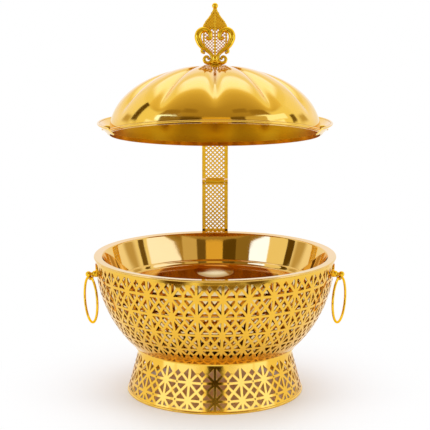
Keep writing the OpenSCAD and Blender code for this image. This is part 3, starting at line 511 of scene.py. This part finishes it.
# %% [markdown]
# ## Nodes by name
# A material is a net of nodes, which is quicker to read when each node is one line. These helpers add a
# node and hand back the socket that the next one needs. Patterns read the object's own coordinates, so
# they stay on the piece when it moves.


# %% Node helpers
def node(tree, kind, links=None, **values):
    """One shader node; links maps an input's name or number to a socket or a value."""
    made = tree.nodes.new("ShaderNode" + kind)
    for key, value in values.items():
        setattr(made, key, value)
    for key, value in (links or {}).items():
        if isinstance(value, bpy.types.NodeSocket):
            tree.links.new(value, made.inputs[key])
        else:
            made.inputs[key].default_value = value
    return made


def place_on(tree):
    """The place on the object itself."""
    return node(tree, "TexCoord").outputs["Object"]


def number(tree, operation, *values, **settings):
    """The result of a Math node."""
    return node(tree, "Math", dict(enumerate(values)), operation=operation, **settings).outputs[0]


def vector(tree, operation, *values):
    """The result of a Vector Math node, which is a plain number for a length."""
    made = node(tree, "VectorMath", dict(enumerate(values)), operation=operation)
    return made.outputs["Value" if operation == "LENGTH" else "Vector"]


def span(tree, value, low, high, to=(0.0, 1.0), easing="LINEAR"):
    """A value between low and high, mapped to the range in to and held at its ends."""
    return node(tree, "MapRange", {"Value": value, "From Min": low, "From Max": high, "To Min": to[0],
                                   "To Max": to[1]}, interpolation_type=easing).outputs[0]


def mix_colour(tree, factor, first, second):
    """A colour mix whose sockets are picked by their type, because a Mix node holds several sets."""
    made = node(tree, "Mix", {0: factor}, data_type="RGBA")
    for socket, value in zip([s for s in made.inputs if s.type == "RGBA"], (first, second)):
        if isinstance(value, bpy.types.NodeSocket):
            tree.links.new(value, socket)
        else:
            socket.default_value = (*value, 1)
    return [s for s in made.outputs if s.type == "RGBA"][0]


print("node helpers ready")

# %% [markdown]
# ## Shared effects
# Two effects are on every metal here. Polishing leaves fine marks and soft smears, which change how rough
# the shine is from place to place. Polish also never reaches into corners, so a darker tone stays there.
# Both are node groups, built once and placed in each material with that material's own values.


# %% Shared effects
def group(name, inputs, outputs):
    """An empty node group: inputs maps names to defaults, outputs maps names to socket kinds."""
    tree = bpy.data.node_groups.new(name, "ShaderNodeTree")
    for label, value in inputs.items():
        kind = "NodeSocketColor" if isinstance(value, tuple) else "NodeSocketFloat"
        tree.interface.new_socket(name=label, in_out="INPUT", socket_type=kind).default_value = value
    for label, kind in outputs.items():
        tree.interface.new_socket(name=label, in_out="OUTPUT", socket_type=kind)
    return tree, tree.nodes.new("NodeGroupInput").outputs, tree.nodes.new("NodeGroupOutput").inputs


marks, given, result = group("polish_marks", {"Base": 0.08, "Spread": 0.05},
                             {"Roughness": "NodeSocketFloat", "Height": "NodeSocketFloat"})
smear = node(marks, "TexNoise", {"Vector": place_on(marks), "Scale": 14.0, "Detail": 4.0, "Roughness": 0.6})
scratch = node(marks, "TexNoise", {"Vector": place_on(marks), "Scale": 900.0, "Detail": 2.0})
amount = number(marks, "MULTIPLY", span(marks, smear.outputs[0], 0.35, 0.7, (-0.4, 1.0)), given["Spread"])
marks.links.new(number(marks, "ADD", amount, given["Base"], use_clamp=True), result["Roughness"])
marks.links.new(scratch.outputs[0], result["Height"])

tone, given, result = group("recess_tone", {"Polished": (1, 1, 1, 1), "Warm": (1, 1, 1, 1),
                                            "Recess": (0, 0, 0, 1)}, {"Color": "NodeSocketColor"})
hollow = node(tone, "AmbientOcclusion", {"Distance": 0.006}, samples=6, only_local=True)
cloud = node(tone, "TexNoise", {"Vector": place_on(tone), "Scale": 9.0, "Detail": 3.0})
drift = span(tone, cloud.outputs[0], 0.3, 0.7, (0.0, 0.35))
gilding = mix_colour(tone, drift, given["Polished"], given["Warm"])
open_part = span(tone, hollow.outputs["AO"], 0.35, 0.95)
tone.links.new(mix_colour(tone, open_part, given["Recess"], gilding), result["Color"])
print("groups", marks.name, tone.name)

# %% [markdown]
# ## Gilt and other metals
# All the gilt pieces are brass with a thin gold finish. They differ in how they were worked: the dome and
# the hoop are polished bright, the arm is satin, the castings are a little rougher and the rosette is
# darkened. So one recipe makes all of them, with three colours, a roughness and the depth of its marks.

# %% Metals
WHITE, GOLD_EDGE = (1, 1, 1), (1.0, 0.72, 0.22)


def metal(name, polished, warm, recess, base=0.08, spread=0.05, bump=0.02, coat=0.0, bevel=0.0, edge=WHITE,
          metallic=1.0):
    """A metal whose colour, roughness and fine marks vary over the surface."""
    material = bpy.data.materials.new(name)
    material.use_nodes = True
    tree = material.node_tree
    wear = node(tree, "Group", node_tree=marks, name="wear")
    wear.inputs["Base"].default_value, wear.inputs["Spread"].default_value = base, spread
    tint = node(tree, "Group", node_tree=tone, name="tint")
    for key, value in (("Polished", polished), ("Warm", warm), ("Recess", recess)):
        tint.inputs[key].default_value = (*value, 1)
    ripple = node(tree, "Bump", {"Strength": bump, "Distance": 0.0004, "Height": wear.outputs["Height"]},
                  name="ripple")
    if bevel:
        soft = node(tree, "Bevel", {"Radius": bevel}, samples=4)
        tree.links.new(soft.outputs[0], ripple.inputs["Normal"])
    shader = tree.nodes["Principled BSDF"].inputs
    for key, value in (("Metallic", metallic), ("Coat Weight", coat), ("Coat Roughness", 0.03),
                       ("Specular Tint", (*edge, 1))):
        shader[key].default_value = value
    tree.links.new(tint.outputs["Color"], shader["Base Color"])
    tree.links.new(wear.outputs["Roughness"], shader["Roughness"])
    tree.links.new(ripple.outputs[0], shader["Normal"])
    return material


gilt = metal("gilt_polished", (0.90, 0.56, 0.07), (0.86, 0.50, 0.05), (0.42, 0.19, 0.02), coat=0.1)
satin = metal("gilt_satin", (1.0, 0.64, 0.03), (0.96, 0.58, 0.025), (0.60, 0.28, 0.02), base=0.45,
              spread=0.10, edge=GOLD_EDGE, metallic=0.8)
aged = metal("gilt_aged", (0.84, 0.49, 0.012), (0.74, 0.40, 0.01), (0.16, 0.06, 0.005), base=0.30, bump=0.08,
             edge=(0.7, 0.4, 0.06))
pierced = metal("gilt_pierced", (0.92, 0.54, 0.06), (0.87, 0.48, 0.04), (0.45, 0.20, 0.02), base=0.09,
                bevel=0.0007)
cast = metal("gilt_cast", (0.96, 0.60, 0.03), (0.91, 0.52, 0.02), (0.34, 0.14, 0.01), base=0.14, bump=0.05,
             edge=GOLD_EDGE)
liner = metal("gilt_liner", (0.80, 0.62, 0.32), (0.74, 0.55, 0.25), (0.38, 0.22, 0.07), base=0.10)
dark = metal("dark_steel", (0.10, 0.065, 0.03), (0.14, 0.09, 0.04), (0.03, 0.02, 0.01), base=0.30,
             spread=0.15)
tin = metal("fuel_tin", (0.70, 0.70, 0.71), (0.62, 0.62, 0.63), (0.30, 0.30, 0.30), base=0.30, spread=0.12)
print("metals", len(bpy.data.materials))

# %% [markdown]
# ## Inside of the lid
# The dome's inside was left as it came from the lathe, with fine rings round its axis. Rings stretch a
# shine across them. Modelling them would take thousands of faces, so the anisotropy of the shader does
# it, with its tangent running round the Z axis. Its colour is a darker amber than the outside, which is
# painted shade for the shaded inside of the dome.

# %% Inside of the lid
# The darker amber base colour is painted shade for the shaded inside of the dome.
inside = metal("gilt_inside_painted_shade", (0.66, 0.32, 0.005), (0.60, 0.28, 0.004), (0.24, 0.10, 0.005), base=0.32,
               spread=0.04)
tree = inside.node_tree
shader = tree.nodes["Principled BSDF"].inputs
around = vector(tree, "NORMALIZE", vector(tree, "CROSS_PRODUCT", (0, 0, 1), place_on(tree)))
tree.links.new(around, shader["Tangent"])
shader["Anisotropic"].default_value = 0.92
shader["Anisotropic Rotation"].default_value = 0.25
print("inside", inside.name)

# %% [markdown]
# ## Pan and its floor
# The pan's wall is the brightest polish on the dish. Its floor is painted darker amber, a painted shade
# for the dark reflection it shows, which gives way to the pan's own gold towards the wall. It also
# carries one soft glow behind its middle, as if the sheet were not quite flat there. Such a dent is far
# too shallow to model, so inside an oval patch the shader's normal leans and its shine is softer, and its
# colour is paler, which is a painted highlight.

# %% Pan and its floor
PAN_GOLD = (0.86, 0.55, 0.13)
PATCH_MIDDLE, PATCH_HALF, PATCH_LEAN = (0, 0.104, 0), (0.034, 0.050), (-0.40, -0.25, 0)
# The patch's paler colour is a painted highlight.
PAINTED_HIGHLIGHT_COLOUR, PATCH_ROUGH, GOLD_FROM, GOLD_TO = (1.0, 0.84, 0.40), 0.22, 0.112, 0.128
pan = metal("gilt_pan", PAN_GOLD, (0.81, 0.48, 0.09), (0.50, 0.26, 0.04), base=0.035, spread=0.03)
# The floor's darker amber is painted shade for the dark reflection it shows.
pan_floor_painted_light = metal("gilt_pan_floor", (0.46, 0.25, 0.03), (0.40, 0.21, 0.02), (0.30, 0.14, 0.02), base=0.10)
tree = pan_floor_painted_light.node_tree
shader = tree.nodes["Principled BSDF"].inputs
offset = vector(tree, "SUBTRACT", place_on(tree), PATCH_MIDDLE)
far = vector(tree, "LENGTH", vector(tree, "MULTIPLY", offset, (1 / PATCH_HALF[0], 1 / PATCH_HALF[1], 0)))
# glow is the mask of the painted highlight inside the oval patch.
glow = span(tree, far, 0.0, 1.0, (1.0, 0.0), "SMOOTHERSTEP")
lean = vector(tree, "MULTIPLY", PATCH_LEAN, span(tree, far, 0.85, 1.0, (1.0, 0.0)))
upright = node(tree, "NewGeometry").outputs["Normal"]
leaning = vector(tree, "NORMALIZE", vector(tree, "ADD", upright, lean))
tree.links.new(leaning, tree.nodes["ripple"].inputs["Normal"])
out = vector(tree, "LENGTH", vector(tree, "MULTIPLY", place_on(tree), (1, 1, 0)))
# Towards the wall the painted shade gives way to the pan's own gold.
band = span(tree, out, GOLD_FROM, GOLD_TO, easing="SMOOTHSTEP")
banded = mix_colour(tree, band, tree.nodes["tint"].outputs["Color"], PAN_GOLD)
# Inside the patch the colour turns paler: a painted highlight.
tree.links.new(mix_colour(tree, glow, banded, PAINTED_HIGHLIGHT_COLOUR), shader["Base Color"])
softer = number(tree, "MULTIPLY", glow, PATCH_ROUGH)
tree.links.new(number(tree, "MAXIMUM", softer, tree.nodes["wear"].outputs["Roughness"]), shader["Roughness"])
print("pan materials", pan.name, pan_floor_painted_light.name)

# %% [markdown]
# ## Dressing the pieces
# Each piece gets the finish of the way it was worked. The dome and the pan have two: the inner face of
# the dome and the floor of the pan are picked out face by face, by where a face lies and which way it
# looks. These two take the materials with painted shade, and the floor also a painted highlight.


# %% Dressing
def dress(material, *names):
    """Gives a material to CAD nodes and to new pieces by name."""
    for name in names:
        mesh = (nodes.get(name) or bpy.data.objects[name]).data
        mesh.materials.clear()
        mesh.materials.append(material)


dress(gilt, "foot_hem", "foot_collar", "bowl_base", "bowl_hoop", "arm_bracket", "cradle_bracket",
      "lid_cradle", "pivot_bosses", "lid_rim", "lid_dome", "lid_fluted_dome", "burner_cup", "base_hinge_pin",
      "lid_hinge_pin", "pivot_screws", "cradle_rivets")
dress(pierced, "foot_skirt", "bowl_shell")
dress(satin, "finial_wings", "finial_leaf", "lower_frame", "upper_frame", "lower_mesh", "upper_mesh",
      "knee_pin")
dress(aged, "finial_rosette", "finial_petals")
dress(cast, "left_lug", "right_lug", "left_ring", "right_ring", "handle_plates", "finial_scrolls",
      "finial_cast_scrolls", "finial_ball", "finial_collar")
dress(liner, "inner_bowl", "water_pan")
dress(pan, "food_pan", "spun_food_pan")
dress(dark, "base_screws", "base_nuts", "burner_ring", "lug_nuts", "bracket_screws", "lower_rivets",
      "upper_rivets", "finial_stud", "finial_nut")
dress(tin, "fuel_can")

FLOOR_R, FLOOR_TOP = 0.1452, 0.1585
# The floor faces take the material with painted shade and a painted highlight.
dish.data.materials.append(pan_floor_painted_light)
for face in dish.data.polygons:
    face.material_index = int(face.center.xy.length < FLOOR_R and face.center.z < FLOOR_TOP)
# The inner faces of the dome take the darker material with its painted shade.
dome.data.materials.append(inside)
for face in dome.data.polygons:
    face.material_index = int(face.normal.dot(face.center - LID.translation) < 0)
print("materials", len(bpy.data.materials))

# %% [markdown]
# ## Floor
# The photograph stands on a white sweep that keeps a soft shadow round the foot. The floor is pale and
# takes that shadow, and further out it fades into plain white, so that no horizon is seen. Inside the
# foot it is tinted, because there the light has passed between gilt walls.

# %% Floor
deselect()
bpy.ops.mesh.primitive_plane_add(size=60, location=(0, 0, 0))
floor = bpy.context.object
floor.name = "studio_floor"
paint = bpy.data.materials.new("pale_floor")
paint.use_nodes = True
tree = paint.node_tree
surface = tree.nodes["Principled BSDF"]
surface.inputs["Roughness"].default_value = 0.6
away = vector(tree, "LENGTH", place_on(tree))
past_foot = span(tree, away, 0.10, 0.125, easing="SMOOTHSTEP")
floor_colour = mix_colour(tree, past_foot, (1.0, 0.66, 0.24), (0.96, 0.95, 0.945))
tree.links.new(floor_colour, surface.inputs["Base Color"])
white = node(tree, "Emission", {"Color": (1, 1, 1, 1), "Strength": 1.0})
fade = span(tree, away, 0.08, 0.36, easing="SMOOTHSTEP")
blend = node(tree, "MixShader", {0: fade, 1: surface.outputs[0], 2: white.outputs[0]})
tree.links.new(blend.outputs[0], tree.nodes["Material Output"].inputs[0])
floor.data.materials.append(paint)
print("floor", floor.name)

# %% [markdown]
# ## Surround
# The surround is plain white to the camera and in reflections, and a little dimmer as a light, so that it
# doesn't wash out the shadow. The Light Path node tells which of these a ray is for.

# %% Surround
world = bpy.data.worlds.new("white_surround")
scene.world = world
world.use_nodes = True
tree = world.node_tree
tree.nodes.clear()
path = node(tree, "LightPath").outputs
seen = number(tree, "MAXIMUM", path["Is Camera Ray"], path["Is Glossy Ray"])
seen = number(tree, "MAXIMUM", seen, path["Is Transmission Ray"])
sky = node(tree, "Background", {"Color": (1, 1, 1, 1), "Strength": span(tree, seen, 0.0, 1.0, (0.8, 1.0))})
node(tree, "OutputWorld", {0: sky.outputs[0]})
print("surround", world.name)

# %% [markdown]
# ## Cards
# Polished metal has hardly any colour of its own: it shows what stands round it. A photographer sets up
# white and black boards for that, out of the picture, and so does this scene. A card glows in its own
# colour, fades out at its edges, and is seen by reflections only. It lights nothing and throws no shadow.


# %% Cards
def card_material(name):
    """A material without a shader, and the X, Y and Z of the place on the object."""
    material = bpy.data.materials.new(name)
    material.use_nodes = True
    tree = material.node_tree
    tree.nodes.remove(tree.nodes["Principled BSDF"])
    return material, tree, node(tree, "SeparateXYZ", {0: place_on(tree)}).outputs


def only_mirrored(board, material, colour, mask):
    """Lets a board glow where the mask is 1, and hides it from all but reflections."""
    tree = material.node_tree
    shine = node(tree, "Emission", {"Color": colour, "Strength": 1.0})
    clear = node(tree, "BsdfTransparent")
    both = node(tree, "MixShader", {0: mask, 1: clear.outputs[0], 2: shine.outputs[0]})
    tree.links.new(both.outputs[0], tree.nodes["Material Output"].inputs[0])
    board.data.materials.append(material)
    board.visible_camera = board.visible_shadow = board.visible_diffuse = False


def card(name, place, aim, size, colour, soft=0.06):
    """A flat board that faces a point; soft is the share of its size over which its edges fade."""
    deselect()
    bpy.ops.mesh.primitive_plane_add(size=1, location=place)
    board = bpy.context.object
    board.name = name
    board.scale = (size[0], size[1], 1)
    board.rotation_euler = (Vector(aim) - Vector(place)).to_track_quat("Z", "Y").to_euler()
    material, tree, spot = card_material(name)
    mask = 1.0
    for axis in ("X", "Y"):
        near = span(tree, number(tree, "ABSOLUTE", spot[axis]), 0.5 - soft, 0.5, (1.0, 0.0), "SMOOTHSTEP")
        mask = number(tree, "MULTIPLY", near, mask)
    only_mirrored(board, material, (*colour, 1), mask)


def wall_card(name, turns, heights, away, colour, soft=0.06):
    """A card that faces the dish between two directions, in degrees from the front, and two heights."""
    middle, half = radians(sum(turns) / 2), radians(abs(turns[1] - turns[0]) / 2)
    place = (away * sin(middle), -away * cos(middle), sum(heights) / 2)
    card(name, place, (0, 0, place[2]), (2 * away * tan(half), heights[1] - heights[0]), colour, soft)


print("card helpers ready")

# %% [markdown]
# ## Cards at both sides
# The photograph's dome and bowl mirror tall pale softboxes at both sides, with a dark room between and
# below them. The colours are linear light: above 1 is brighter than white, and a strong blue makes up for
# the blue that gold swallows, so that a bright reflection comes out pale instead of yellow.

# %% Cards at both sides
SILVER, PALE = (1.25, 1.5, 3.4), (1.05, 1.08, 1.35)
SHADE, AMBER, BROWN = (0.12, 0.075, 0.012), (0.10, 0.055, 0.003), (0.34, 0.24, 0.09)
for label, sign, face in (("right", 1, (43, 87)), ("left", -1, (43, 69))):
    for name, turns, heights, away, colour, soft in (
            ("softbox_face", face, (0.84, 1.17), 1.5, SILVER, 0.06),
            ("low_softbox", (14, 58), (0.20, 0.38), 1.45, SILVER, 0.06),
            ("low_softbox_outer", (58, 80), (0.0, 0.82), 1.45, SILVER, 0.06),
            ("side_room", (100, 124), (0.50, 0.90), 1.5, (0.60, 0.50, 0.34), 0.35),
            ("room_low", (17, 58), (0.42, 0.84), 1.47, AMBER, 0.1),
            ("table_far", (17, 58), (0.0, 0.17), 1.38, AMBER, 0.1),
            ("ceiling_inner", (20, 42), (1.45, 1.95), 1.6, BROWN, 0.15),
            ("ceiling_outer", (40, 70), (1.22, 1.75), 1.6, BROWN, 0.15),
            ("wall", (95, 150), (0.3, 2.4), 2.2, PALE, 0.2)):
        wall_card(f"{label}_{name}", (sign * turns[0], sign * turns[1]), heights, away, colour, soft)
    table = (sign * 0.64, -0.86)
    card(label + "_table", (*table, 0.02), (*table, 2), (0.72, 0.56), AMBER, 0.25)
print("cards at both sides ready")

# %% [markdown]
# ## Cards for the pan and the front
# The pan's wall shows sharp bands, dark, gold and pale. They are narrow cards close to the dish, because
# a near card's edge stays sharp in a curved mirror. The flags darken two narrow strips at the sides, and
# the rest stand for the room behind the camera, the table and the wall behind the dish.

# %% Cards for the pan and the front
for name, turns, colour in (("pan_middle", (-11.5, 13.7), (0.83, 0.60, 0.187)),
                            ("pan_left_dark", (-11.5, -31.5), SHADE),
                            ("pan_left_mid", (-31.5, -51.7), (0.29, 0.21, 0.075)),
                            ("pan_right_dark", (13.7, 26.8), (0.174, 0.118, 0.04)),
                            ("pan_right_mid", (26.8, 48.3), (0.69, 0.60, 0.47))):
    wall_card(name, turns, (0.43, 0.532), 0.35, colour, 0.02)
wall_card("left_flag", (-92, -103), (0.62, 1.8), 1.5, SHADE, 0.1)
wall_card("right_flag", (90, 99), (0.62, 0.98), 1.5, (0.17, 0.115, 0.035), 0.15)
wall_card("left_hot_face", (-43, -69), (0.86, 1.17), 1.48, (1.30, 1.95, 7.0))
wall_card("camera_side", (-12, 12), (0.42, 1.15), 3.0, (0.05, 0.03, 0.006))
wall_card("front_glow", (-14, 14), (0.02, 0.22), 1.25, (1.9, 1.6, 1.0), 0.15)
wall_card("back_wall", (145, 215), (0.5, 2.4), 2.4, PALE, 0.2)
card("table_edge", (0.08, -0.85, 0.02), (0.08, -0.85, 2), (0.7, 0.45), (0.20, 0.13, 0.04), 0.2)
card("top_softbox_face", (0, 0.95, 2.3), (0, 0.95, 0), (2.8, 1.7), SILVER, 0.25)
print("cards for the pan and the front ready")

# %% [markdown]
# ## Canopy
# The front of the dome runs smoothly from brown to gold, with no edge in it. Flat cards would leave steps
# there, so one curved sheet goes over the front, part of a wide tube whose other faces are deleted, and a
# colour ramp along its curve gives the run.

# %% Canopy
CANOPY_R, CANOPY_Z, CANOPY_HALF, CANOPY_REACH = 2.3, 0.3, 3.2, (24, 98)
deselect()
bpy.ops.mesh.primitive_cylinder_add(vertices=180, radius=CANOPY_R, depth=2 * CANOPY_HALF,
                                    end_fill_type="NOTHING", location=(0, 0, 0), rotation=(0, pi / 2, 0))
bpy.ops.object.transform_apply(location=True, rotation=True, scale=True)
canopy = start("front_canopy")


def out_of_reach(face):
    """Whether a face lies outside the canopy's part of the tube."""
    centre = face.calc_center_median()
    return not CANOPY_REACH[0] < degrees(atan2(centre.z, -centre.y)) < CANOPY_REACH[1]


pick(canopy, out_of_reach, "FACE")
bpy.ops.mesh.delete(type="FACE")
bpy.ops.object.mode_set(mode="OBJECT")
canopy.location = (0, 0, CANOPY_Z)
material, tree, spot = card_material("front_canopy")
rise = number(tree, "ARCTAN2", spot["Z"], number(tree, "MULTIPLY", spot["Y"], -1.0))
ramp = node(tree, "ValToRGB", {0: span(tree, rise, *(radians(a) for a in CANOPY_REACH))})
stops = ramp.color_ramp.elements
stops[0].color = (0.40, 0.29, 0.12, 1)
stops[1].color = (0.95, 0.85, 0.62, 1)
stops.new(0.45).color = (0.52, 0.40, 0.18, 1)
stops.new(0.8).color = (0.72, 0.60, 0.34, 1)
wide = number(tree, "ABSOLUTE", spot["X"])
only_mirrored(canopy, material, ramp.outputs[0],
              span(tree, wide, CANOPY_HALF * 0.7, CANOPY_HALF, (1.0, 0.0), "SMOOTHSTEP"))
print("canopy faces", len(canopy.data.polygons))

# %% [markdown]
# ## Lamps
# Three soft area lamps stand where the softboxes stood: one at each side and a larger one overhead, which
# gives the shadow under the bowl. They are weak, and hidden from reflections, because the cards already
# stand there.


# %% Lamps
def lamp(name, place, aim, size, power):
    """A rectangular area lamp that points at a place."""
    deselect()
    bpy.ops.object.light_add(type="AREA", location=place)
    light = bpy.context.object
    light.name = name
    light.data.shape = "RECTANGLE"
    light.data.size, light.data.size_y = size
    light.data.energy = power
    light.rotation_euler = (Vector(aim) - Vector(place)).to_track_quat("-Z", "Y").to_euler()
    light.visible_glossy = False


lamp("left_softbox", (-1.6, -0.9, 1.3), (0, 0, 0.3), (0.5, 1.2), 8)
lamp("right_softbox", (1.6, -0.8, 1.3), (0, 0, 0.3), (0.5, 1.2), 7)
lamp("top_softbox", (0, 0.3, 2.4), (0, 0, 0.2), (1.6, 1.0), 9)
print("lamps", len(bpy.data.lights))
